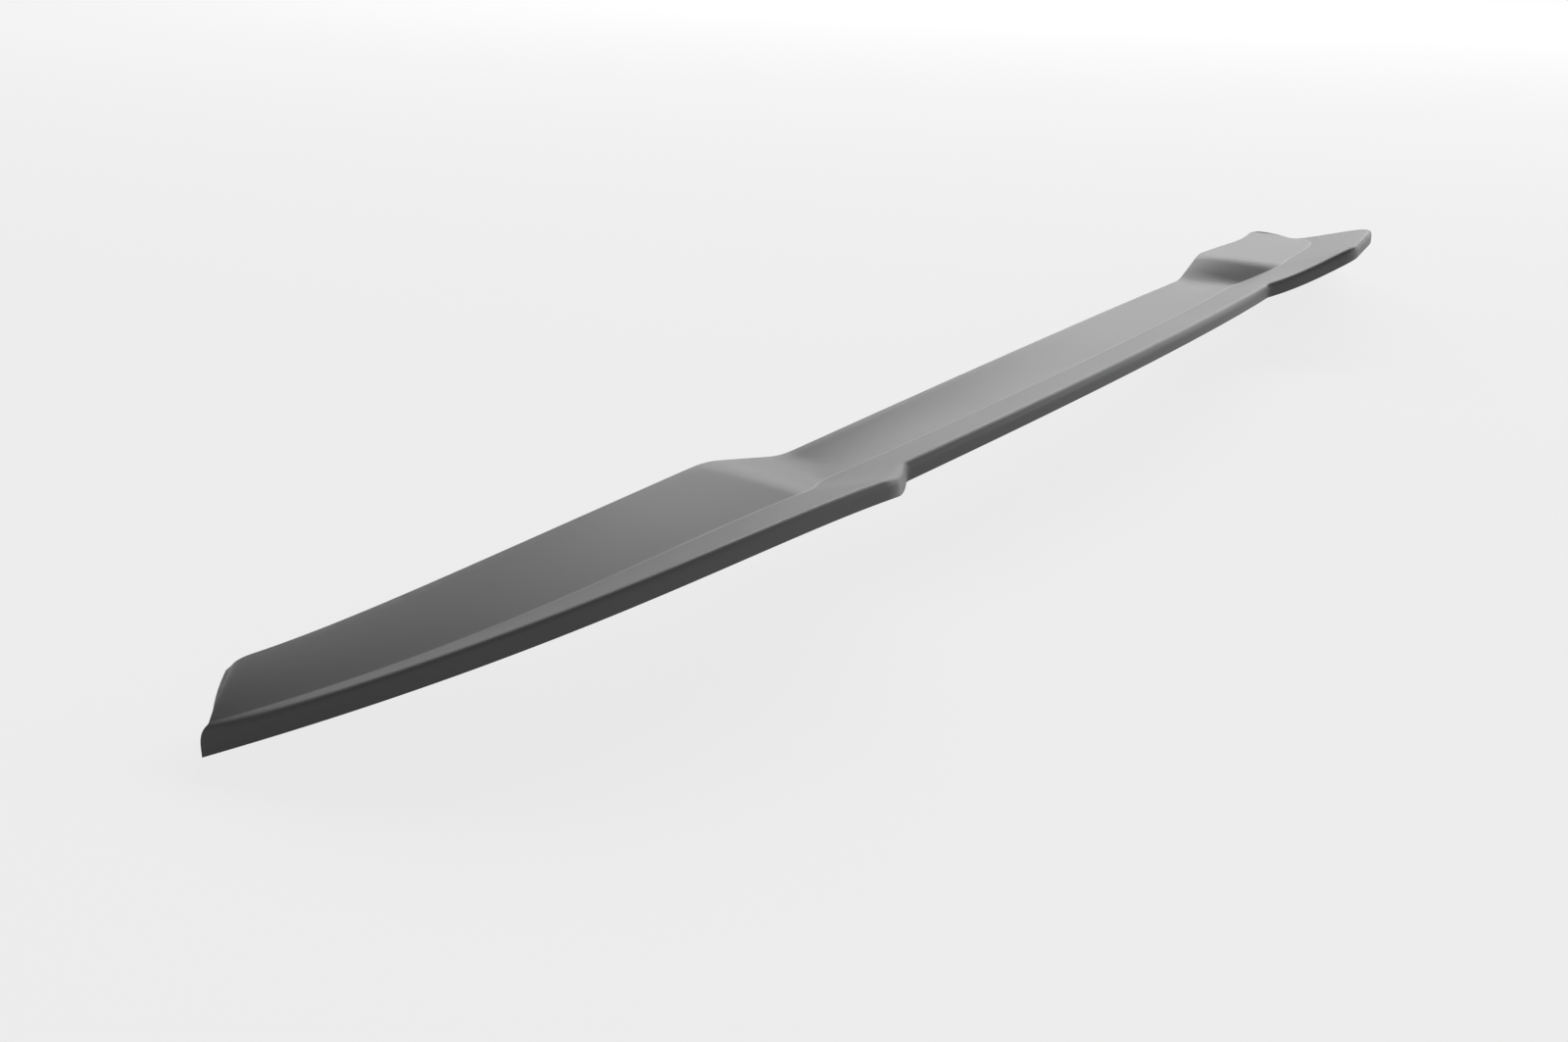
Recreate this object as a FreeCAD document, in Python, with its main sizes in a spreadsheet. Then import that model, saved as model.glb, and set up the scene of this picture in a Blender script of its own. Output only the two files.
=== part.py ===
"""Rear spoiler lip: one moulded shell with two raised end sections and a lower centre section.

Frame: X along the part, Y towards the front of the car, Z up. The part is the same on both sides of X = 0.
The origin is on the underside of the centre deck, halfway between its front edge and its crease.
"""
import FreeCAD, Part
import math
import os

Vector = FreeCAD.Vector

# Driving dimensions in millimetres and slopes in millimetres per millimetre
DIMENSIONS = [
    ("half_span", 605.7, "middle to the tip of the lip"),
    ("tip_overhang", 1.7, "lip past the end of the deck, along the length of the part"),
    ("wall", 3.0, "wall of the shell"),
    ("front_edge_thickness", 2.0, "thickness of the front edge"),
    ("front_forward", 21.7, "front edge at the middle, forward of the origin"),
    ("front_height", 1.9, "front edge at the middle, above the origin"),
    ("front_sweep", 88.3, "forward sweep of the front edge over the half span"),
    ("front_tuck", 7.0, "backward turn of the front edge at the tip"),
    ("front_lift", 16.8, "extra rise of the front edge at the tip"),
    ("front_crown", 55.7, "drop of the front edge over the half span"),
    ("ramp_start", 251.7, "middle to the foot of the ramp on the front edge"),
    ("ramp_length", 74.2, "length of the ramp on the front edge"),
    ("ramp_rounding", 19.7, "length of the bend at the foot and at the top of the ramp"),
    ("ramp_rise", 14.9, "rise of the front edge over the ramp"),
    ("crease_back", 19.8, "crease at the middle, behind the origin"),
    ("crease_height", -0.7, "crease at the middle, above the origin"),
    ("crease_bow", 21.8, "bow of the centre crease between its middle and its end"),
    ("crease_crown", 10.4, "drop of the centre crease between its middle and its end"),
    ("crease_step_start", 267.8, "middle to the start of the step in the crease"),
    ("crease_step_length", 60.9, "length of the step in the crease"),
    ("crease_step_rounding", 20.5, "length of the bend at each end of the step in the crease"),
    ("lip_back", 53.3, "lip at the middle, behind the origin"),
    ("lip_height", 8.8, "top of the lip at the middle, above the origin"),
    ("lip_bow", 19.0, "bow of the centre lip between its middle and its end"),
    ("lip_crown", 9.2, "drop of the centre lip between its middle and its end"),
    ("notch_start", 251.0, "middle to the start of the notch in the lip"),
    ("notch_length", 83.6, "length of the notch in the lip"),
    ("notch_foot_rounding", 6.0, "length of the bend at the inner end of the notch"),
    ("notch_rounding", 17.8, "length of the bend at the outer end of the notch"),
    ("lip_depth", 10.4, "height of the lip, rounding included"),
    ("lip_round", 6.0, "rounding along the top of the lip"),
    ("end_lip_back", 71.2, "lip of the end section at its inner corner, behind the origin"),
    ("end_lip_slope", 0.16, "forward slope of the lip at the inner corner"),
    ("end_lip_height", 19.8, "top of the lip at the inner corner, above the origin"),
    ("end_crease_back", 16.7, "crease of the end section at its inner end, behind the origin"),
    ("end_crease_slope", 0.21, "forward slope of the crease at its inner end"),
    ("end_crease_height", -0.8, "crease of the end section at its inner end, above the origin"),
    ("end_crease_fall", 0.07, "downward slope of the crease at its inner end"),
    ("tip_lip_forward", 71.4, "lip at the tip, forward of the origin"),
    ("tip_lip_slope", 1.27, "forward slope of the lip at the tip"),
    ("tip_lip_drop", 35.9, "top of the lip at the tip, below the origin"),
    ("tip_lip_fall", 0.46, "downward slope of the lip at the tip"),
    ("tip_crease_gap", 3.8, "crease to lip at the tip, along the car"),
    ("tip_crease_slope", 0.78, "forward slope of the crease at the tip"),
    ("tip_crease_rise", 1.2, "crease above the top of the lip at the tip"),
    ("tip_crease_fall", 0.21, "downward slope of the crease at the tip"),
    ("centre_deck_crown", -1.4, "bulge of the centre deck above its chord, below zero for a hollow"),
    ("end_deck_crown", 1.0, "bulge of the end decks above their chord"),
    ("end_rake_angle", 54.0, "angle of the deck end from the lengthwise direction of the car, in degrees"),
    ("end_corner_radius", 16.0, "rounding of the front corner of the deck end"),
]

# Stations of the sections: sections in the centre, in the ramp and notch, and in the end section
CENTRE_STATIONS = 8
STEP_STATIONS = 14
END_STATIONS = 16

# The front edge turns back and up close to the tip: a higher power turns it later
TIP_TURN_POWER = 6

# The rounding and the flange of the lip keep to this share of the shelf where the shelf is narrow
WIDEST_SHARE_OF_SHELF = 0.7


def add_dimensions(doc):
    """Write the driving dimensions to a sheet, one row each, with the value in an aliased cell."""
    sheet = doc.addObject("Spreadsheet::Sheet", "Dimensions")
    for row, (alias, value, meaning) in enumerate(DIMENSIONS, start=1):
        sheet.set(f"A{row}", alias)
        sheet.set(f"B{row}", str(value))
        sheet.setAlias(f"B{row}", alias)
        sheet.set(f"C{row}", meaning)
    doc.recompute()
    return sheet


def eased_step(position, start, length, foot_bend, top_bend):
    """Rise from 0 to 1 over the length: a straight slope with a round bend at its foot and its top."""
    foot = min(foot_bend, 0.5 * length)
    top = min(top_bend, 0.5 * length)
    along = min(max(position - start, 0.0), length)
    slope = 1.0 / (length - 0.5 * (foot + top))
    if along < foot:
        return 0.5 * slope * along * along / foot
    if along > length - top:
        rest = length - along
        return 1.0 - 0.5 * slope * rest * rest / top
    return slope * (along - 0.5 * foot)


def ramp_share(dims, reach):
    """Share of the rise from the centre deck to the end deck."""
    bend = dims.ramp_rounding
    return eased_step(reach, dims.ramp_start, dims.ramp_length, bend, bend)


def end_share(dims, reach):
    """Share of the way along the end section, from the notch to the tip."""
    inner = dims.notch_start + dims.notch_length
    return max(reach - inner, 0.0) / (dims.half_span - inner)


def mix(first, second, share):
    """Blend two points of a section."""
    return tuple(a + (b - a) * share for a, b in zip(first, second))


def eased_run(position, start, end):
    """Cubic from start to end, each a (position, value, slope)."""
    length = end[0] - start[0]
    share = (position - start[0]) / length
    square = share * share
    cube = square * share
    return (
        start[1] * (2.0 * cube - 3.0 * square + 1.0)
        + end[1] * (3.0 * square - 2.0 * cube)
        + length * start[2] * (cube - 2.0 * square + share)
        + length * end[2] * (cube - square)
    )


def front_edge(dims, reach):
    """Top of the front edge at a distance from the middle, as (y, z)."""
    spread = (reach / dims.half_span) ** 2
    tip_share = end_share(dims, reach) ** TIP_TURN_POWER
    rise = dims.ramp_rise * ramp_share(dims, reach) + dims.front_lift * tip_share
    return (
        dims.front_forward + dims.front_sweep * spread - dims.front_tuck * tip_share,
        dims.front_height - dims.front_crown * spread + rise,
    )


def crease_line(dims, reach):
    """Crease between the deck and the shelf, as (y, z)."""
    spread = (reach / dims.crease_step_start) ** 2
    centre = (
        dims.crease_bow * spread - dims.crease_back,
        dims.crease_height - dims.crease_crown * spread,
    )
    inner = dims.crease_step_start + dims.crease_step_length
    tip_forward = dims.tip_lip_forward + dims.tip_crease_gap
    tip_height = dims.tip_crease_rise - dims.tip_lip_drop
    end = (
        eased_run(
            reach,
            (inner, -dims.end_crease_back, dims.end_crease_slope),
            (dims.half_span, tip_forward, dims.tip_crease_slope),
        ),
        eased_run(
            reach,
            (inner, dims.end_crease_height, -dims.end_crease_fall),
            (dims.half_span, tip_height, -dims.tip_crease_fall),
        ),
    )
    bend = dims.crease_step_rounding
    share = eased_step(reach, dims.crease_step_start, dims.crease_step_length, bend, bend)
    return mix(centre, end, share)


def lip_corner(dims, reach):
    """Corner where the shelf would meet the rear face without its rounding, as (y, z)."""
    spread = (reach / dims.notch_start) ** 2
    centre = (
        dims.lip_bow * spread - dims.lip_back,
        dims.lip_height - dims.lip_crown * spread,
    )
    inner = dims.notch_start + dims.notch_length
    end = (
        eased_run(
            reach,
            (inner, -dims.end_lip_back, dims.end_lip_slope),
            (dims.half_span, dims.tip_lip_forward, dims.tip_lip_slope),
        ),
        eased_run(
            reach,
            (inner, dims.end_lip_height, 0.0),
            (dims.half_span, -dims.tip_lip_drop, -dims.tip_lip_fall),
        ),
    )
    bends = (dims.notch_foot_rounding, dims.notch_rounding)
    return mix(centre, end, eased_step(reach, dims.notch_start, dims.notch_length, *bends))


def fan_angle(dims, reach):
    """Turn of a section about Z: none up to the notch's end, and the full rake from the deck end on."""
    deck_end_share = end_share(dims, dims.half_span - dims.tip_overhang)
    share = min(end_share(dims, reach) / deck_end_share, 1.0)
    return math.radians(dims.end_rake_angle) * share * share


def run_to(dims, line, reach, angle):
    """Distance from the lip to a line of the shell, along a section that leaves the lip at this angle."""
    start = lip_corner(dims, reach)[0]
    near = 0.0
    far = dims.half_span
    for _ in range(60):
        run = 0.5 * (near + far)
        if start + run * math.cos(angle) < line(dims, reach - run * math.sin(angle))[0]:
            near = run
        else:
            far = run
    return run


def lip_stretch(dims, reach, angle):
    """How much longer a distance square to the lip is when it is measured along the section."""
    step = 1.0
    ahead = lip_corner(dims, reach + step)[0]
    behind = lip_corner(dims, abs(reach - step))[0]
    lip_angle = math.atan((ahead - behind) / (2.0 * step))
    return 1.0 / math.cos(lip_angle - angle)


def section_wire(dims, reach, side):
    """Closed outline of the shell in the upright plane that leaves the lip at this reach."""
    angle = fan_angle(dims, reach)
    lip_forward, lip_top = lip_corner(dims, reach)
    crease_run = run_to(dims, crease_line, reach, angle)
    front_run = run_to(dims, front_edge, reach, angle)
    crease_top = crease_line(dims, reach - crease_run * math.sin(angle))[1]
    front_top = front_edge(dims, reach - front_run * math.sin(angle))[1]

    stretch = lip_stretch(dims, reach, angle)
    shelf_rise = (lip_top - crease_top) / crease_run
    shelf_wall = dims.wall * math.hypot(1.0, shelf_rise)
    flange_wall = min(dims.wall * stretch, WIDEST_SHARE_OF_SHELF * crease_run)
    round_run = min(dims.lip_round * stretch, WIDEST_SHARE_OF_SHELF * crease_run)
    lip_bottom = lip_top - dims.lip_depth
    crown = dims.centre_deck_crown
    crown += (dims.end_deck_crown - dims.centre_deck_crown) * ramp_share(dims, reach)

    def point(run, height):
        along = reach - run * math.sin(angle)
        return Vector(side * along, lip_forward + run * math.cos(angle), height)

    def curve(*poles):
        arc = Part.BezierCurve()
        arc.setPoles(list(poles))
        return arc.toShape()

    def bulge(front, crease):
        return curve(front, (front + crease) * 0.5 + Vector(0.0, 0.0, 2.0 * crown), crease)

    front_upper = point(front_run, front_top)
    front_lower = point(front_run, front_top - dims.front_edge_thickness)
    crease_upper = point(crease_run, crease_top)
    crease_lower = point(crease_run, crease_top - shelf_wall)
    round_start = point(round_run, lip_top - shelf_rise * round_run)
    round_end = point(0.0, lip_top - dims.lip_round)
    lip_outer = point(0.0, lip_bottom)
    lip_inner = point(flange_wall, lip_bottom)
    inner_corner = point(flange_wall, lip_top - shelf_rise * flange_wall - shelf_wall)

    return Part.Wire(
        [
            bulge(front_upper, crease_upper),
            Part.makeLine(crease_upper, round_start),
            curve(round_start, point(0.0, lip_top), round_end),
            Part.makeLine(round_end, lip_outer),
            Part.makeLine(lip_outer, lip_inner),
            Part.makeLine(lip_inner, inner_corner),
            Part.makeLine(inner_corner, crease_lower),
            bulge(front_lower, crease_lower),
            Part.makeLine(front_lower, front_upper),
        ]
    )


def spaced(start, end, count):
    """Evenly spaced values from start up to end, without end."""
    return [start + (end - start) * index / count for index in range(count)]


def station_reaches(dims):
    """Distances of the sections from the middle, measured at the lip."""
    step_start = min(dims.notch_start, dims.ramp_start, dims.crease_step_start)
    step_end = max(
        dims.notch_start + dims.notch_length,
        dims.ramp_start + dims.ramp_length,
        dims.crease_step_start + dims.crease_step_length,
    )
    return (
        spaced(0.0, step_start, CENTRE_STATIONS)
        + spaced(step_start, step_end, STEP_STATIONS)
        + spaced(step_end, dims.half_span, END_STATIONS)
        + [dims.half_span]
    )


def plan_point(dims, line, reach, angle):
    """Plan point where the section that leaves the lip at this reach meets a line of the shell."""
    run = run_to(dims, line, reach, angle)
    forward = lip_corner(dims, reach)[0] + run * math.cos(angle)
    return Vector(reach - run * math.sin(angle), forward, 0.0)


def end_trim_wire(dims):
    """Plan outline of what is taken off the right end, so that the deck ends short of the lip."""
    angle = math.radians(dims.end_rake_angle)
    end_way = Vector(math.sin(angle), -math.cos(angle), 0.0)
    outward = Vector(math.cos(angle), math.sin(angle), 0.0)
    deck_end = dims.half_span - dims.tip_overhang
    corner = plan_point(dims, front_edge, deck_end, angle)
    crease_end = plan_point(dims, crease_line, deck_end, angle)
    lip_tip = Vector(dims.half_span, dims.tip_lip_forward, 0.0)
    lip_inside = lip_tip - end_way * dims.wall
    beside_reach = corner.x - dims.end_corner_radius
    beside = Vector(beside_reach, front_edge(dims, beside_reach)[0], 0.0)
    front_way = (beside - corner).normalize()

    half_turn = 0.5 * front_way.getAngle(end_way)
    tangent = dims.end_corner_radius / math.tan(half_turn)
    inward = (front_way + end_way).normalize()
    centre = corner + inward * (dims.end_corner_radius / math.sin(half_turn))
    arc_start = corner + front_way * tangent
    arc_middle = centre - inward * dims.end_corner_radius
    arc_end = corner + end_way * tangent
    beyond_corner = corner - inward * dims.end_corner_radius
    beyond_lip = lip_inside + outward * dims.end_corner_radius
    return Part.Wire(
        [
            Part.Arc(arc_start, arc_middle, arc_end).toShape(),
            Part.makeLine(arc_end, crease_end),
            Part.makeLine(crease_end, lip_inside),
            Part.makeLine(lip_inside, beyond_lip),
            Part.makeLine(beyond_lip, beyond_corner),
            Part.makeLine(beyond_corner, arc_start),
        ]
    )


def add_sections(doc, dims):
    """Add the outlines from the left tip to the right tip."""
    reaches = station_reaches(dims)
    stations = [(-1.0, reach) for reach in reversed(reaches[1:])] + [(1.0, reach) for reach in reaches]
    sections = []
    for index, (side, reach) in enumerate(stations):
        section = doc.addObject("Part::Feature", f"section_{index:02d}")
        section.Shape = section_wire(dims, reach, side)
        sections.append(section)
    return sections


def add_end_trims(doc, dims):
    """Add the piece that trims the right end of the deck, and its mirror image."""
    outline = doc.addObject("Part::Feature", "end_trim_outline")
    outline.Shape = end_trim_wire(dims)

    right_trim = doc.addObject("Part::Extrusion", "right_end_trim")
    right_trim.Base = outline
    right_trim.DirMode = "Custom"
    right_trim.Dir = Vector(0.0, 0.0, 1.0)
    right_trim.Solid = True
    right_trim.setExpression("LengthFwd", "Dimensions.half_span")
    right_trim.setExpression("LengthRev", "Dimensions.half_span")

    left_trim = doc.addObject("Part::Mirroring", "left_end_trim")
    left_trim.Source = right_trim
    left_trim.Base = Vector(0.0, 0.0, 0.0)
    left_trim.Normal = Vector(1.0, 0.0, 0.0)
    return right_trim, left_trim


def add_shell(doc, dims):
    """Loft the shell through its sections and trim each end of the deck."""
    loft = doc.addObject("Part::Loft", "shell_loft")
    loft.Sections = add_sections(doc, dims)
    loft.Solid = True
    loft.Ruled = False

    shell = loft
    for side, trim in zip(("right", "left"), add_end_trims(doc, dims)):
        cut = doc.addObject("Part::Cut", f"shell_trimmed_{side}")
        cut.Base = shell
        cut.Tool = trim
        shell = cut
    shell.Label = "spoiler_shell"
    shell.Placement = FreeCAD.Placement()
    return shell


def check(doc, pieces):
    """Stop if any object failed or any piece is not one valid solid."""
    for item in doc.Objects:
        if "Invalid" in item.State or "Error" in item.State:
            raise RuntimeError(f"{item.Label} failed: {item.State}")
    for piece in pieces:
        if piece.Shape.isNull() or not piece.Shape.isValid():
            raise RuntimeError(f"{piece.Label} is not a valid shape")
        if len(piece.Shape.Solids) != 1:
            raise RuntimeError(f"{piece.Label} has {len(piece.Shape.Solids)} solids")


def main():
    doc = FreeCAD.newDocument("rear_spoiler_lip")
    dims = add_dimensions(doc)
    pieces = [add_shell(doc, dims)]
    doc.recompute()
    check(doc, pieces)

    os.makedirs("parts", exist_ok=True)
    for piece in pieces:
        piece.Shape.exportStep(f"parts/{piece.Label}.step")
        box = piece.Shape.BoundBox
        print(piece.Label, f"{box.XLength:.1f} x {box.YLength:.1f} x {box.ZLength:.1f} mm,",
              f"{piece.Shape.Volume / 1000.0:.1f} cm3")


main()
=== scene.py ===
# %% [markdown]
# # A moulded spoiler lip
#
# This lesson dresses one car part: a long, thin plastic lip that lies along the rear edge of a car.
# It is one moulding, with two raised end sections, a lower centre section, an upswept shelf along its
# rear and a rounded lip that turns down.
#
# The imported CAD model comes first. It fixes the place and the size of everything that follows.

# %% Load the imported part
import math

import bpy
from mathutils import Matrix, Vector


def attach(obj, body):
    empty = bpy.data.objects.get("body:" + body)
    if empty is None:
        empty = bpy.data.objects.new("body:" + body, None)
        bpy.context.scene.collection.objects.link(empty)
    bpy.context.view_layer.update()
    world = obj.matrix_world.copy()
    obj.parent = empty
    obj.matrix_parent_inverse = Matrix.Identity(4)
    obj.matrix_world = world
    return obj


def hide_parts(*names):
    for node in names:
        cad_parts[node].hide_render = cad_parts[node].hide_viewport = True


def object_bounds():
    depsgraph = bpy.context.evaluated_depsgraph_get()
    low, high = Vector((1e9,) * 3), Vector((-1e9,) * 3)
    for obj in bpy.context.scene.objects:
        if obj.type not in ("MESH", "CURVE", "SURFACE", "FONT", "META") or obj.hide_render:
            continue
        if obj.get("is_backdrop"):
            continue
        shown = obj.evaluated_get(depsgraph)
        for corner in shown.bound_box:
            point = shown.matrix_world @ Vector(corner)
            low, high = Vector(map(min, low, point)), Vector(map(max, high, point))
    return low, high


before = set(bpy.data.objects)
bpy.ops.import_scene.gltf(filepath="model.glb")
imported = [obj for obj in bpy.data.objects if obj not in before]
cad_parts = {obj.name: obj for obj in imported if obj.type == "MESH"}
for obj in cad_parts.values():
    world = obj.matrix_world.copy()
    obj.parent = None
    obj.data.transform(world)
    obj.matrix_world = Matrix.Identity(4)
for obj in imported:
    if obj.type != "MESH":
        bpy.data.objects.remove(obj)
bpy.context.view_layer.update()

MM = 0.001

# %% [markdown]
# ## The three lines of the part
#
# Everything on the shell hangs on three lines that run from tip to tip: the front edge, the crease
# between deck and shelf, and the lip. One could draw them as curves by hand. Here each is a short rule
# in the distance from the middle, with the same values as the CAD model, because then the visible skin
# and the solid agree everywhere.
#
# A line is a bowed centre, a longer bow in each end section, and a step that leads from one to the
# other. The step is a straight slope with a round bend at its foot and at its top.

# %% Rules for bows and steps
HALF_SPAN = 605.7
TIP_OVERHANG = 1.7
DECK_END = HALF_SPAN - TIP_OVERHANG


def eased_step(position, start, length, foot_bend, top_bend):
    """Rise from 0 to 1: a straight slope with a round bend at its foot and its top."""
    along = min(max(position - start, 0.0), length)
    slope = 1.0 / (length - 0.5 * (foot_bend + top_bend))
    if along < foot_bend:
        return 0.5 * slope * along * along / foot_bend
    if along > length - top_bend:
        rest = length - along
        return 1.0 - 0.5 * slope * rest * rest / top_bend
    return slope * (along - 0.5 * foot_bend)


def eased_run(position, start, end):
    """Cubic from start to end, each a (position, value, slope)."""
    length = end[0] - start[0]
    t = (position - start[0]) / length
    return (
        start[1] * (2.0 * t**3 - 3.0 * t**2 + 1.0)
        + end[1] * (3.0 * t**2 - 2.0 * t**3)
        + length * start[2] * (t**3 - 2.0 * t**2 + t)
        + length * end[2] * (t**3 - t**2)
    )


def mix(first, second, share):
    return tuple(a + (b - a) * share for a, b in zip(first, second))


print("half span:", HALF_SPAN, "mm")

# %% The front edge, the crease and the lip
NOTCH_START = 251.0
NOTCH_LENGTH = 83.6
NOTCH_BENDS = (6.0, 17.8)
NOTCH_END = NOTCH_START + NOTCH_LENGTH
CREASE_STEP_START = 267.8
CREASE_STEP_LENGTH = 60.9
CREASE_STEP_BEND = 20.5
CREASE_STEP_END = CREASE_STEP_START + CREASE_STEP_LENGTH
RAMP_START = 251.7
RAMP_LENGTH = 74.2
RAMP_BEND = 19.7
RAMP_RISE = 14.9

# Each pair below is a forward value and a height. Lengths are in mm, and slopes are per mm of reach.
FRONT_MIDDLE = (21.7, 1.9)
FRONT_SWEEP = (88.3, -55.7)
FRONT_TIP_TURN = (-7.0, 16.8)
TIP_TURN_POWER = 6
CREASE_MIDDLE = (-19.8, -0.7)
CREASE_BOW = (21.8, -10.4)
CREASE_INNER = (-16.7, -0.8)
CREASE_INNER_SLOPE = (0.21, -0.07)
LIP_MIDDLE = (-53.3, 8.8)
LIP_BOW = (19.0, -9.2)
LIP_INNER = (-71.2, 19.8)
LIP_INNER_SLOPE = (0.16, 0.0)
TIP_LIP = (71.4, -35.9)
TIP_LIP_SLOPE = (1.27, -0.46)
TIP_SHELF = (3.8, 1.2)
TIP_CREASE = (TIP_LIP[0] + TIP_SHELF[0], TIP_LIP[1] + TIP_SHELF[1])
TIP_CREASE_SLOPE = (0.78, -0.21)


def bowed(middle, bow, spread):
    """Point of a line that bows away from its middle."""
    return tuple(start + change * spread for start, change in zip(middle, bow))


def end_section(reach, start, inner, inner_slope, tip, tip_slope):
    """Point of a line in an end section, from its inner end to the tip."""
    return tuple(
        eased_run(reach, (start, inner[axis], inner_slope[axis]), (HALF_SPAN, tip[axis], tip_slope[axis]))
        for axis in range(2)
    )


def ramp_share(reach):
    return eased_step(reach, RAMP_START, RAMP_LENGTH, RAMP_BEND, RAMP_BEND)


def end_share(reach):
    return max(reach - NOTCH_END, 0.0) / (HALF_SPAN - NOTCH_END)


def front_edge(reach):
    spread = (reach / HALF_SPAN) ** 2
    tip_share = end_share(reach) ** TIP_TURN_POWER
    forward, height = bowed(FRONT_MIDDLE, FRONT_SWEEP, spread)
    rise = RAMP_RISE * ramp_share(reach) + FRONT_TIP_TURN[1] * tip_share
    return forward + FRONT_TIP_TURN[0] * tip_share, height + rise


def crease_line(reach):
    centre = bowed(CREASE_MIDDLE, CREASE_BOW, (reach / CREASE_STEP_START) ** 2)
    end = end_section(
        reach, CREASE_STEP_END, CREASE_INNER, CREASE_INNER_SLOPE, TIP_CREASE, TIP_CREASE_SLOPE
    )
    share = eased_step(reach, CREASE_STEP_START, CREASE_STEP_LENGTH, CREASE_STEP_BEND, CREASE_STEP_BEND)
    return mix(centre, end, share)


def lip_line(reach):
    centre = bowed(LIP_MIDDLE, LIP_BOW, (reach / NOTCH_START) ** 2)
    end = end_section(reach, NOTCH_END, LIP_INNER, LIP_INNER_SLOPE, TIP_LIP, TIP_LIP_SLOPE)
    return mix(centre, end, eased_step(reach, NOTCH_START, NOTCH_LENGTH, *NOTCH_BENDS))


for name, line in (("front edge", front_edge), ("crease", crease_line), ("lip", lip_line)):
    print(name, "at the middle and at the tip:", line(0.0), line(HALF_SPAN))

# %% [markdown]
# ## Sections that fan out to the tip
#
# The end of the deck is cut at a slant in plan, and the lip sweeps forward to meet it. Sections that all
# stay square to the car would cut the tip into slivers. So each section is a straight line in plan that
# starts on the lip and turns a little more the nearer it is to the tip, until the last one lies along
# the slanted end. The front corner of that end is rounded: in the last sections the front point slides
# along a small circle.
#
# The lip runs on a little past the end of the deck. There the sections keep the last points of the deck,
# and only the point on the lip moves on.

# %% Section lines and the rounded front corner
END_RAKE = math.radians(54.0)
CORNER_RADIUS = 16.0
HALVINGS = 50


def section_turn(reach):
    return END_RAKE * min(end_share(reach) / end_share(DECK_END), 1.0) ** 2


def section_point(reach, run):
    """Plan point at a distance from the lip along a section, as (reach, forward)."""
    turn = section_turn(reach)
    return reach - run * math.sin(turn), lip_line(reach)[0] + run * math.cos(turn)


def run_to(line, reach):
    """Distance from the lip to another line, by halving."""
    near = 0.0
    far = HALF_SPAN
    for _ in range(HALVINGS):
        run = 0.5 * (near + far)
        along, forward = section_point(reach, run)
        if forward < line(along)[0]:
            near = run
        else:
            far = run
    return run


corner = Vector(section_point(DECK_END, run_to(front_edge, DECK_END)))
end_way = Vector((math.sin(END_RAKE), -math.cos(END_RAKE)))
beside = corner.x - CORNER_RADIUS
front_way = (Vector((beside, front_edge(beside)[0])) - corner).normalized()
half_turn = 0.5 * front_way.angle(end_way)
corner_middle = corner + (front_way + end_way).normalized() * (CORNER_RADIUS / math.sin(half_turn))
arc_start = corner.x + front_way.x * CORNER_RADIUS / math.tan(half_turn)
print("front corner before rounding:", [round(value, 1) for value in corner])


def front_run(reach):
    """Distance from the lip to the front edge, or to the rounding of its outer corner."""
    run = run_to(front_edge, reach)
    if section_point(reach, run)[0] < arc_start:
        return run
    turn = section_turn(reach)
    way = Vector((-math.sin(turn), math.cos(turn)))
    to_middle = corner_middle - Vector(section_point(reach, 0.0))
    foot = to_middle.dot(way)
    off_line = (to_middle - way * foot).length
    return foot + math.sqrt(max(CORNER_RADIUS**2 - off_line**2, 0.0))


# %% [markdown]
# ## Guide points for the skin
#
# The skin is lofted by Geometry Nodes, and a node tree needs something to loft along. A mesh of bare
# points does that well: one row of points for each of the three lines, one point for each section.
# Two numbers ride along as attributes: how much the deck bulges there, and how much of the shelf the
# rounding of the lip takes up, which is less where the shelf runs out at the tip.
#
# The stations stand closer together in the steps, where the shape changes fast, and closest at the tip,
# where the corner is round.

# %% Stations and guide mesh
CENTRE_STATIONS = 60
STEP_STATIONS = 90
END_STATIONS = 110
TIP_STATIONS = 40
OVERHANG_STATIONS = 4
TIP_ZONE = 14.0
STEP_ZONE = (240.0, 350.0)
LIP_ROUNDING = 6.0
WIDEST_ROUNDING = 0.7
DECK_CROWN = (-1.4, 1.0)
SLOPE_STEP = 1.0


def spaced(start, end, count):
    return [start + (end - start) * index / count for index in range(count)]


half = (
    spaced(0.0, STEP_ZONE[0], CENTRE_STATIONS)
    + spaced(*STEP_ZONE, STEP_STATIONS)
    + spaced(STEP_ZONE[1], HALF_SPAN - TIP_ZONE, END_STATIONS)
    + spaced(HALF_SPAN - TIP_ZONE, DECK_END, TIP_STATIONS)
    + spaced(DECK_END, HALF_SPAN, OVERHANG_STATIONS)
    + [HALF_SPAN]
)
stations = [(-1.0, reach) for reach in reversed(half[1:])] + [(1.0, reach) for reach in half]


def lip_stretch(reach):
    """How much longer a distance square to the lip is along the section."""
    change = lip_line(reach + SLOPE_STEP)[0] - lip_line(abs(reach - SLOPE_STEP))[0]
    slope = change / (2.0 * SLOPE_STEP)
    return 1.0 / math.cos(math.atan(slope) - section_turn(reach))


def guide_point(side, reach, run, height):
    along, forward = section_point(reach, run)
    return Vector((side * along, forward, height)) * MM


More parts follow.
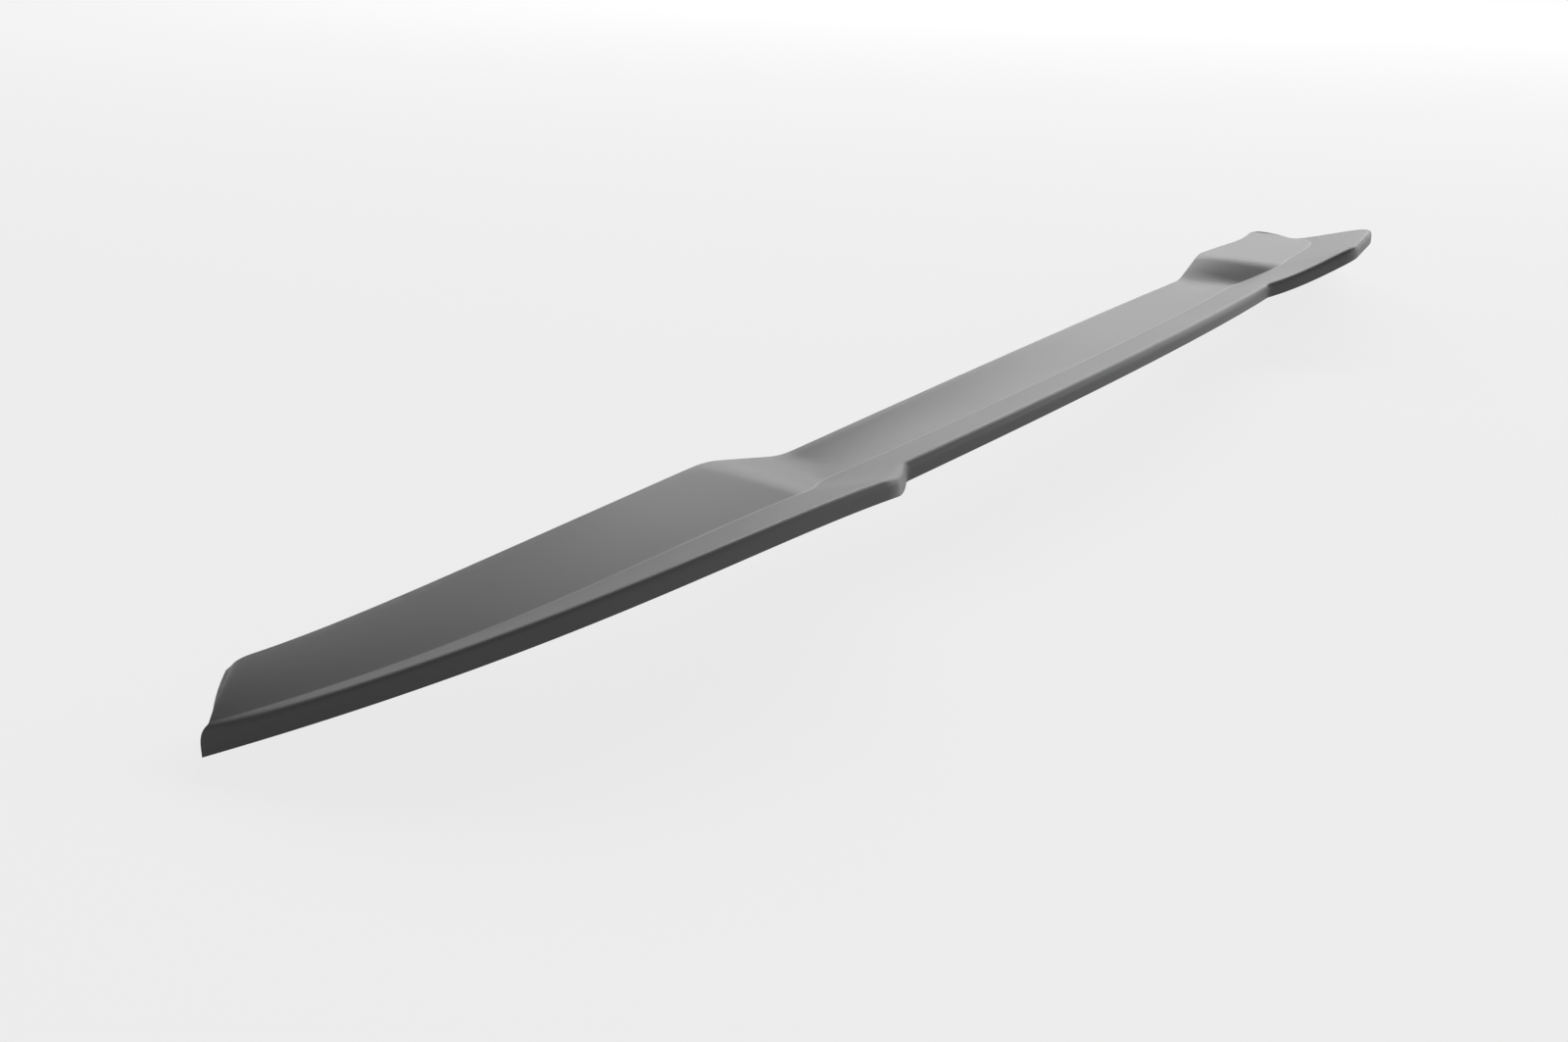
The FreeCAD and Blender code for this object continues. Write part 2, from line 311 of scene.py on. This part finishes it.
rows = {"front": [], "crease": [], "lip": []}
crowns, rounding_shares = [], []
for side, reach in stations:
    deck_reach = min(reach, DECK_END)
    to_front = front_run(deck_reach)
    to_crease = run_to(crease_line, deck_reach)
    front_height = front_edge(section_point(deck_reach, to_front)[0])[1]
    crease_height = crease_line(section_point(deck_reach, to_crease)[0])[1]
    rows["front"].append(guide_point(side, deck_reach, to_front, front_height))
    rows["crease"].append(guide_point(side, deck_reach, to_crease, crease_height))
    rows["lip"].append(guide_point(side, reach, 0.0, lip_line(reach)[1]))
    crowns.append(mix(DECK_CROWN[:1], DECK_CROWN[1:], ramp_share(reach))[0] * MM)
    rounding_shares.append(min(LIP_ROUNDING * lip_stretch(reach) / to_crease, WIDEST_ROUNDING))

guide_mesh = bpy.data.meshes.new("guide_points")
guide_mesh.from_pydata(rows["front"] + rows["crease"] + rows["lip"], [], [])
for name, values in (("deck_crown", crowns), ("rounding_share", rounding_shares)):
    attribute = guide_mesh.attributes.new(name, "FLOAT", "POINT")
    attribute.data.foreach_set("value", values * len(rows))
guides = bpy.data.objects.new("spoiler_guides", guide_mesh)
bpy.context.collection.objects.link(guides)
print("stations:", len(stations), "guide points:", len(guide_mesh.vertices))

# %% [markdown]
# ## The plastic
#
# The real part is moulded in dark grey plastic with a smooth satin finish. Seen close, such a skin is
# not one flat colour: the moulding leaves a very fine grain, and slow drifts in tone and gloss where the
# plastic flowed and where hands have rubbed it. A slow noise mixes two close greys and drifts the
# roughness, and a fine noise gives the grain as bump. All of it reads Object coordinates, so the
# pattern keeps its real size and stays on the part from every side.
#
# Along the crease a thin highlight is painted into the colour. The faces of that narrow bend carry an
# attribute, which the node tree further down stores, and the material mixes in a paler grey where it is
# 1. This paler line is painted light: it stands in for the bright reflection that the small concave bend
# catches.

# %% Dark satin plastic
DARK_GREY = (0.150, 0.155, 0.150, 1.0)
LIGHT_GREY = (0.185, 0.190, 0.185, 1.0)
# Paler grey of the painted highlight along the crease, not wear
CREASE_HIGHLIGHT_GREY = (0.250, 0.255, 0.250, 1.0)
CREASE_HIGHLIGHT_MARK = "crease_line"
PLASTIC_IOR = 1.5
PLASTIC_SPECULAR = 0.12
SATIN = (0.46, 0.54)
DRIFT_SCALE = 9.0
DRIFT_DETAIL = 4.0
GRAIN_SCALE = 1600.0
GRAIN_DETAIL = 2.0
GRAIN_HEIGHT = 0.02 * MM
GRAIN_STRENGTH = 0.15

plastic = bpy.data.materials.new("dark_satin_plastic")
plastic.use_nodes = True
nodes = plastic.node_tree.nodes
links = plastic.node_tree.links
shader = nodes["Principled BSDF"]
shader.inputs["IOR"].default_value = PLASTIC_IOR
shader.inputs["Specular IOR Level"].default_value = PLASTIC_SPECULAR

place = nodes.new("ShaderNodeTexCoord")
drift = nodes.new("ShaderNodeTexNoise")
drift.inputs["Scale"].default_value = DRIFT_SCALE
drift.inputs["Detail"].default_value = DRIFT_DETAIL
tone = nodes.new("ShaderNodeMix")
tone.data_type = "RGBA"
tone.inputs["A"].default_value = DARK_GREY
tone.inputs["B"].default_value = LIGHT_GREY
gloss = nodes.new("ShaderNodeMapRange")
gloss.inputs["To Min"].default_value = SATIN[0]
gloss.inputs["To Max"].default_value = SATIN[1]
crease_mark = nodes.new("ShaderNodeAttribute")
crease_mark.attribute_name = CREASE_HIGHLIGHT_MARK
# Mixes the painted crease highlight into the base colour where the crease attribute is 1
crease_highlight = nodes.new("ShaderNodeMix")
crease_highlight.data_type = "RGBA"
crease_highlight.inputs["B"].default_value = CREASE_HIGHLIGHT_GREY
grain = nodes.new("ShaderNodeTexNoise")
grain.inputs["Scale"].default_value = GRAIN_SCALE
grain.inputs["Detail"].default_value = GRAIN_DETAIL
bump = nodes.new("ShaderNodeBump")
bump.inputs["Strength"].default_value = GRAIN_STRENGTH
bump.inputs["Distance"].default_value = GRAIN_HEIGHT

links.new(place.outputs["Object"], drift.inputs["Vector"])
links.new(place.outputs["Object"], grain.inputs["Vector"])
links.new(drift.outputs["Fac"], tone.inputs["Factor"])
links.new(drift.outputs["Fac"], gloss.inputs["Value"])
links.new(grain.outputs["Fac"], bump.inputs["Height"])
links.new(crease_mark.outputs["Fac"], crease_highlight.inputs["Factor"])
links.new(tone.outputs["Result"], crease_highlight.inputs["A"])
links.new(crease_highlight.outputs["Result"], shader.inputs["Base Color"])
links.new(gloss.outputs["Result"], shader.inputs["Roughness"])
links.new(bump.outputs["Normal"], shader.inputs["Normal"])
print("material:", plastic.name, "with", len(nodes), "nodes")

# %% [markdown]
# ## Lofting the skin with Geometry Nodes
#
# Across the part, the skin is five bands, one after the other: the bulging deck, the soft bend in the
# crease, the flat shelf, the rounding of the lip and the upright rear face. Each band is a curve between
# two edges that leans towards a third point, which is a quadratic Bezier. One node group makes such a
# band on a grid: it works out which station and which column each grid point belongs to, and blends the
# three points of that station.
#
# The main tree reads the guide points, works out the edges of the five bands, makes the bands, marks the
# one along the crease, joins them and welds the shared edges. Its sizes are named inputs, so the lip can
# be made deeper or rounder without touching the tree.

# %% A helper to place and link nodes
class Tree:
    """A node tree with short calls for adding linked nodes."""

    def __init__(self, name):
        self.tree = bpy.data.node_groups.new(name, "GeometryNodeTree")

    def socket(self, name, kind, way="INPUT"):
        return self.tree.interface.new_socket(name=name, in_out=way, socket_type="NodeSocket" + kind)

    def add(self, kind, *values, **settings):
        node = self.tree.nodes.new(kind)
        for name, value in settings.items():
            setattr(node, name, value)
        for socket, value in zip([s for s in node.inputs if s.enabled], values):
            self.feed(socket, value)
        return node

    def feed(self, socket, value):
        if isinstance(value, bpy.types.NodeSocket):
            self.tree.links.new(value, socket)
        elif value is not None:
            socket.default_value = value

    def math(self, operation, *values):
        return self.add("ShaderNodeMath", *values, operation=operation).outputs["Value"]

    def vector(self, operation, *values):
        return self.add("ShaderNodeVectorMath", *values, operation=operation).outputs["Vector"]

    def scaled(self, vector, factor):
        node = self.add("ShaderNodeVectorMath", operation="SCALE")
        self.feed(node.inputs["Vector"], vector)
        self.feed(node.inputs["Scale"], factor)
        return node.outputs["Vector"]

    def blended(self, first, second, share):
        """The point at a share of the way from first to second."""
        return self.vector("ADD", first, self.scaled(self.vector("SUBTRACT", second, first), share))


# %% The node group for one band
band = Tree("bezier_band")
for name, kind in (
    ("Stations", "Int"),
    ("Columns", "Int"),
    ("First Edge", "Vector"),
    ("Lean", "Vector"),
    ("Last Edge", "Vector"),
):
    band.socket(name, kind)
band.socket("Band", "Geometry", "OUTPUT")
band_in = band.add("NodeGroupInput").outputs
band_grid = band.add("GeometryNodeMeshGrid")
band.feed(band_grid.inputs["Vertices X"], band_in["Stations"])
band.feed(band_grid.inputs["Vertices Y"], band_in["Columns"])
index = band.add("GeometryNodeInputIndex").outputs["Index"]
column = band.math("MODULO", index, band_in["Columns"])
share = band.math("DIVIDE", column, band.math("SUBTRACT", band_in["Columns"], 1.0))
first_half = band.blended(band_in["First Edge"], band_in["Lean"], share)
last_half = band.blended(band_in["Lean"], band_in["Last Edge"], share)
place_points = band.add("GeometryNodeSetPosition")
band.feed(place_points.inputs["Geometry"], band_grid.outputs["Mesh"])
band.feed(place_points.inputs["Position"], band.blended(first_half, last_half, share))
band_out = band.add("NodeGroupOutput")
band.feed(band_out.inputs["Band"], place_points.outputs["Geometry"])
print("band group:", len(band.tree.nodes), "nodes")

# %% The tree that lofts the skin
skin = Tree("spoiler_skin")
skin_sizes = {}
for name, kind in (
    ("Guides", "Geometry"),
    ("Stations", "Int"),
    ("Columns", "Int"),
    ("Crease Bend", "Float"),
    ("Lip Rounding", "Float"),
    ("Lip Depth", "Float"),
    ("Plastic", "Material"),
):
    skin_sizes[name] = skin.socket(name, kind).identifier
skin.socket("Skin", "Geometry", "OUTPUT")
skin_in = skin.add("NodeGroupInput").outputs

point_index = skin.add("GeometryNodeInputIndex").outputs["Index"]
station = skin.math("FLOOR", skin.math("DIVIDE", point_index, skin_in["Columns"]))


def guide_value(field, data_type, row=0):
    """A field of the guide points, read at this station in one of their rows."""
    at = skin.math("ADD", station, skin.math("MULTIPLY", skin_in["Stations"], float(row)))
    return skin.add(
        "GeometryNodeSampleIndex", skin_in["Guides"], field, at, data_type=data_type
    ).outputs["Value"]


def guide_attribute(name):
    field = skin.add("GeometryNodeInputNamedAttribute", name, data_type="FLOAT").outputs["Attribute"]
    return guide_value(field, "FLOAT")


position = skin.add("GeometryNodeInputPosition").outputs["Position"]
front, crease, lip = (guide_value(position, "FLOAT_VECTOR", row) for row in range(3))
up = (0.0, 0.0, 1.0)
print("guide rows read by the tree: front, crease, lip")

# %% Edges of the five bands
deck_lift = skin.scaled(up, skin.math("MULTIPLY", guide_attribute("deck_crown"), 2.0))
deck_lean = skin.vector("ADD", skin.blended(front, crease, 0.5), deck_lift)
rounding_start = skin.blended(lip, crease, guide_attribute("rounding_share"))
rounding_end = skin.vector("SUBTRACT", lip, skin.scaled(up, skin_in["Lip Rounding"]))
lip_bottom = skin.vector("SUBTRACT", lip, skin.scaled(up, skin_in["Lip Depth"]))


def bend_edge(towards):
    """Edge of the bend in the crease, on the way to another point and at most half way."""
    distance = skin.add("ShaderNodeVectorMath", crease, towards, operation="DISTANCE").outputs["Value"]
    way_share = skin.math("MINIMUM", skin.math("DIVIDE", skin_in["Crease Bend"], distance), 0.5)
    return skin.blended(crease, towards, way_share)


bend_start = bend_edge(deck_lean)
bend_end = bend_edge(rounding_start)
bands = (
    (front, deck_lean, bend_start, 0.0),
    (bend_start, crease, bend_end, 1.0),
    (bend_end, skin.blended(bend_end, rounding_start, 0.5), rounding_start, 0.0),
    (rounding_start, lip, rounding_end, 0.0),
    (rounding_end, skin.blended(rounding_end, lip_bottom, 0.5), lip_bottom, 0.0),
)
print("bands across the skin:", len(bands))

# %% Join the bands into one skin
WELD = 0.005 * MM
joined = skin.add("GeometryNodeJoinGeometry")
for first_edge, lean, last_edge, on_crease in bands:
    strip = skin.add("GeometryNodeGroup", node_tree=band.tree)
    skin.feed(strip.inputs["Stations"], skin_in["Stations"])
    skin.feed(strip.inputs["Columns"], skin_in["Columns"])
    skin.feed(strip.inputs["First Edge"], first_edge)
    skin.feed(strip.inputs["Lean"], lean)
    skin.feed(strip.inputs["Last Edge"], last_edge)
    # The crease band gets 1 here, which the material uses for its painted highlight
    marked = skin.add("GeometryNodeStoreNamedAttribute", data_type="FLOAT", domain="FACE")
    skin.feed(marked.inputs["Geometry"], strip.outputs["Band"])
    marked.inputs["Name"].default_value = CREASE_HIGHLIGHT_MARK
    marked.inputs["Value"].default_value = on_crease
    skin.tree.links.new(marked.outputs["Geometry"], joined.inputs["Geometry"])
welded = skin.add("GeometryNodeMergeByDistance")
skin.feed(welded.inputs["Geometry"], joined.outputs["Geometry"])
welded.inputs["Distance"].default_value = WELD
outward = skin.add("GeometryNodeFlipFaces", welded.outputs["Geometry"])
smooth = skin.add("GeometryNodeSetShadeSmooth", outward.outputs["Mesh"])
realised = skin.add("GeometryNodeRealizeInstances", smooth.outputs["Geometry"])
finished = skin.add("GeometryNodeSetMaterial")
skin.feed(finished.inputs["Geometry"], realised.outputs["Geometry"])
skin.feed(finished.inputs["Material"], skin_in["Plastic"])
skin_out = skin.add("NodeGroupOutput")
skin.feed(skin_out.inputs["Skin"], finished.outputs["Geometry"])
print("skin tree:", len(skin.tree.nodes), "nodes")

# %% [markdown]
# ## From skin to shell
#
# The modifier's inputs are set by their identifiers, and the evaluated result becomes a plain mesh. The
# guide points have then done their work and go away.
#
# The skin has no thickness yet. Solidify gives it the wall of the moulding on the inner side, and a
# fine Bevel breaks the sharp edges along the front, under the lip and at the ends, as every moulding
# has them. Both are applied, so that the mesh is exactly what the render shows.

# %% Evaluate the skin
COLUMNS = 9
CREASE_BEND = 1.0 * MM
LIP_DEPTH = 10.4 * MM


def plain_mesh(source, name):
    """The evaluated shape of an object as a mesh of its own."""
    depsgraph = bpy.context.evaluated_depsgraph_get()
    mesh = bpy.data.meshes.new_from_object(source.evaluated_get(depsgraph))
    mesh.name = name
    return mesh


loft = guides.modifiers.new("loft", "NODES")
loft.node_group = skin.tree
for name, value in (
    ("Stations", len(stations)),
    ("Columns", COLUMNS),
    ("Crease Bend", CREASE_BEND),
    ("Lip Rounding", LIP_ROUNDING * MM),
    ("Lip Depth", LIP_DEPTH),
    ("Plastic", plastic),
):
    loft[skin_sizes[name]] = value
skin_mesh = plain_mesh(guides, "spoiler_skin")
bpy.data.objects.remove(guides)
spoiler = bpy.data.objects.new("spoiler_moulding", skin_mesh)
bpy.context.collection.objects.link(spoiler)
print("skin:", len(skin_mesh.vertices), "points,", len(skin_mesh.polygons), "faces")

# %% Wall and fine edges
WALL = 3.0 * MM
EDGE_BREAK = 0.5 * MM
EDGE_SEGMENTS = 3
SHARP_EDGE = math.radians(50.0)

wall = spoiler.modifiers.new("wall", "SOLIDIFY")
wall.thickness = WALL
wall.offset = -1.0
wall.use_even_offset = True
edges = spoiler.modifiers.new("edges", "BEVEL")
edges.width = EDGE_BREAK
edges.segments = EDGE_SEGMENTS
edges.limit_method = "ANGLE"
edges.angle_limit = SHARP_EDGE
shell_mesh = plain_mesh(spoiler, "spoiler_moulding")
spoiler.modifiers.clear()
spoiler.data = shell_mesh
shell_mesh.set_sharp_from_angle(angle=SHARP_EDGE)
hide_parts("spoiler_shell")
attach(spoiler, "root")
triangles = sum(len(face.vertices) - 2 for face in shell_mesh.polygons)
print("shell:", len(shell_mesh.polygons), "faces,", triangles, "triangles")

# %% [markdown]
# ## Floor, background and light
#
# The part lies on its two tips on a pale floor, as in a bright studio. A floor that is white only
# because of strong lamps would also bleach the part. So the floor has a pale glow of its own, which only
# the camera and reflections see, through Light Path. The rest of it is an ordinary matt surface that
# takes the soft shadow. The world does the same beyond the floor.

# %% Pale floor
FLOOR_GREY = (0.80, 0.80, 0.80, 1.0)
FLOOR_ROUGHNESS = 0.9
FLOOR_GLOW = (0.93, 0.93, 0.93, 1.0)
GLOW_SHARE = 0.85
FLOOR_SIDE = 80.0


def seen_directly(tree):
    """1 for rays from the camera, in reflections and through glass, otherwise 0."""
    rays = tree.nodes.new("ShaderNodeLightPath")
    total = rays.outputs["Is Camera Ray"]
    for ray in ("Is Glossy Ray", "Is Transmission Ray"):
        either = tree.nodes.new("ShaderNodeMath")
        either.operation = "MAXIMUM"
        tree.links.new(total, either.inputs[0])
        tree.links.new(rays.outputs[ray], either.inputs[1])
        total = either.outputs["Value"]
    return total


low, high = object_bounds()
bpy.ops.mesh.primitive_plane_add(size=FLOOR_SIDE, location=(0.0, 0.0, low.z))
floor = bpy.context.object
floor.name = "floor"
pale = bpy.data.materials.new("pale_floor")
pale.use_nodes = True
floor_tree = pale.node_tree
matt = floor_tree.nodes["Principled BSDF"]
matt.inputs["Base Color"].default_value = FLOOR_GREY
matt.inputs["Roughness"].default_value = FLOOR_ROUGHNESS
matt.inputs["Specular IOR Level"].default_value = 0.0
glow = floor_tree.nodes.new("ShaderNodeEmission")
glow.inputs["Color"].default_value = FLOOR_GLOW
glow_share = floor_tree.nodes.new("ShaderNodeMath")
glow_share.operation = "MULTIPLY"
glow_share.inputs[1].default_value = GLOW_SHARE
floor_mix = floor_tree.nodes.new("ShaderNodeMixShader")
floor_tree.links.new(seen_directly(floor_tree), glow_share.inputs[0])
floor_tree.links.new(glow_share.outputs["Value"], floor_mix.inputs["Fac"])
floor_tree.links.new(matt.outputs["BSDF"], floor_mix.inputs[1])
floor_tree.links.new(glow.outputs["Emission"], floor_mix.inputs[2])
floor_tree.links.new(floor_mix.outputs["Shader"], floor_tree.nodes["Material Output"].inputs["Surface"])
floor.data.materials.append(pale)
floor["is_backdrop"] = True
print("floor at", round(low.z / MM, 1), "mm")

# %% Pale background and weak fill
FILL = (0.03, 0.03, 0.03, 1.0)
BACKGROUND = (0.80, 0.80, 0.80, 1.0)

world = bpy.data.worlds.new("studio")
bpy.context.scene.world = world
world.use_nodes = True
sky_tree = world.node_tree
fill = sky_tree.nodes["Background"]
fill.inputs["Color"].default_value = FILL
white = sky_tree.nodes.new("ShaderNodeBackground")
white.inputs["Color"].default_value = BACKGROUND
sky_mix = sky_tree.nodes.new("ShaderNodeMixShader")
sky_tree.links.new(seen_directly(sky_tree), sky_mix.inputs["Fac"])
sky_tree.links.new(fill.outputs["Background"], sky_mix.inputs[1])
sky_tree.links.new(white.outputs["Background"], sky_mix.inputs[2])
sky_tree.links.new(sky_mix.outputs["Shader"], sky_tree.nodes["World Output"].inputs["Surface"])
print("world:", len(sky_tree.nodes), "nodes")

# %% [markdown]
# ## Lamps
#
# The light that shapes the part comes from beyond its far end and fairly low, so it rakes along the
# deck: the far deck is bright, and the near end falls off into dark grey. The wide key lamp stands there,
# a little ahead of the part, and a lower one a little to the rear brightens the steps. A weak low lamp
# ahead of the part lifts the slopes that face forward, and one behind the camera keeps the rear face from
# going black.

# %% Four soft lamps
LAMP_DISTANCE = 5.0


def add_lamp(name, around, above, width, height, power):
    """A soft lamp that faces the part: angles in degrees, sides in metres, power in watts."""
    data = bpy.data.lights.new(name, "AREA")
    data.shape = "RECTANGLE"
    data.size = width
    data.size_y = height
    data.energy = power
    turn, rise = math.radians(around), math.radians(above)
    way = Vector((math.cos(turn) * math.cos(rise), math.sin(turn) * math.cos(rise), math.sin(rise)))
    lamp = bpy.data.objects.new(name, data)
    lamp.location = way * LAMP_DISTANCE
    lamp.rotation_euler = (-way).to_track_quat("-Z", "Y").to_euler()
    bpy.context.collection.objects.link(lamp)
    print(name, "lamp:", power, "W")


add_lamp("key", around=20.0, above=25.0, width=5.2, height=1.5, power=240.0)
add_lamp("rake", around=-30.0, above=10.0, width=3.8, height=1.5, power=90.0)
add_lamp("front_low", around=60.0, above=10.0, width=3.8, height=1.5, power=9.0)
add_lamp("rear_fill", around=225.0, above=30.0, width=4.2, height=2.5, power=32.0)

# %% [markdown]
# ## Camera
#
# The camera stands behind the near end and looks along the part, twenty degrees down. Its place and
# turn were worked out from the mirror symmetry of the part: points of the left half and their partners
# on the right half fix the view.

# %% Camera at the photograph's view
CAMERA_PLACE = (-0.9795, -0.4618, 0.2727)
CAMERA_DOWN = math.radians(19.93)
CAMERA_TURN = math.radians(-55.28)
CAMERA_LENS = 40.5
SENSOR_WIDTH = 36.0

camera_data = bpy.data.cameras.new("photo_view")
camera_data.sensor_fit = "HORIZONTAL"
camera_data.sensor_width = SENSOR_WIDTH
camera_data.lens = CAMERA_LENS
camera = bpy.data.objects.new("photo_view", camera_data)
camera.location = CAMERA_PLACE
camera.rotation_euler = (math.radians(90.0) - CAMERA_DOWN, 0.0, CAMERA_TURN)
bpy.context.collection.objects.link(camera)
bpy.context.scene.camera = camera
bpy.context.scene.view_settings.view_transform = "Standard"
print("camera lens:", CAMERA_LENS, "mm")

# %% [markdown]
#
# The last cell prints the box of the finished model.

# %% Print the box of the finished model
low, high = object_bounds()
print("visual box in mm:", [round(side / MM, 1) for side in high - low])
